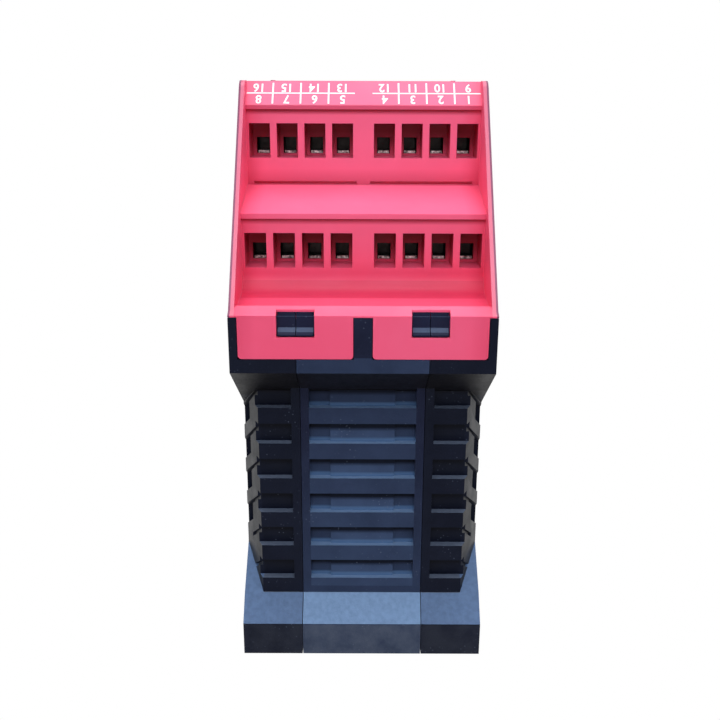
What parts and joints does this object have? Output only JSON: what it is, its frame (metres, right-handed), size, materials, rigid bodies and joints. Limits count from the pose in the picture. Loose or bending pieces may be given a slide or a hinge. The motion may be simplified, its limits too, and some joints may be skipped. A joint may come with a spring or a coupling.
{
  "type": "safety relay",
  "caption": "Rail-mounted safety relay in a finned dark housing with red stepped terminal hoods at both ends, circuit boards inside and a sprung rail latch.",
  "frame": {"origin": "centre of the back face in width and length, on the plane of the rail side", "axes": "+X across the width, +Y from the near end to the far end, +Z from the rail side to the front"},
  "size_m": [0.045, 0.114, 0.1051],
  "materials": {
    "shell": "moulded, fine grain",
    "centre": "moulded, fine grain",
    "hood": "smooth moulded red",
    "terminal_plastic": "moulded",
    "clamp_metal": "tinned",
    "plate": "moulded, smooth",
    "clear": "clear plastic",
    "lamp": "epoxy",
    "circuit_board": "solder mask",
    "relay_case": "moulded",
    "core": "varnished core and winding",
    "can": "sleeved can",
    "latch": "moulded",
    "spring_steel": "spring wire"
  },
  "bodies": {
    "housing": {"left_shell": "shell", "right_shell": "shell", "centre_frame": "centre", "near_hood": "hood", "far_hood": "hood", "near_upper_block": "terminal_plastic", "near_lower_block": "terminal_plastic", "far_upper_block": "terminal_plastic", "far_lower_block": "terminal_plastic", "near_upper_clamps": "clamp_metal", "near_lower_clamps": "clamp_metal", "far_upper_clamps": "clamp_metal", "far_lower_clamps": "clamp_metal", "near_carrier": "terminal_plastic", "far_carrier": "terminal_plastic", "front_plate": "plate", "light_guide": "clear", "leds": "lamp", "front_board": "circuit_board", "left_board": "circuit_board", "right_board": "circuit_board", "near_left_relay": "relay_case", "near_right_relay": "relay_case", "far_left_relay": "relay_case", "far_right_relay": "relay_case", "transformer": "core", "capacitor": "can", "latch_spring": "spring_steel"},
    "latch": {"rail_latch": "latch"}
  },
  "joints": [
    {"name": "latch_slide", "type": "slide", "parent": "housing", "child": "latch", "axis": [0, 1, 0], "range_m": [0, 0.003], "stiffness_N_per_m": 1500, "springref_m": -0.002, "deforming": ["latch_spring"]}
  ]
}
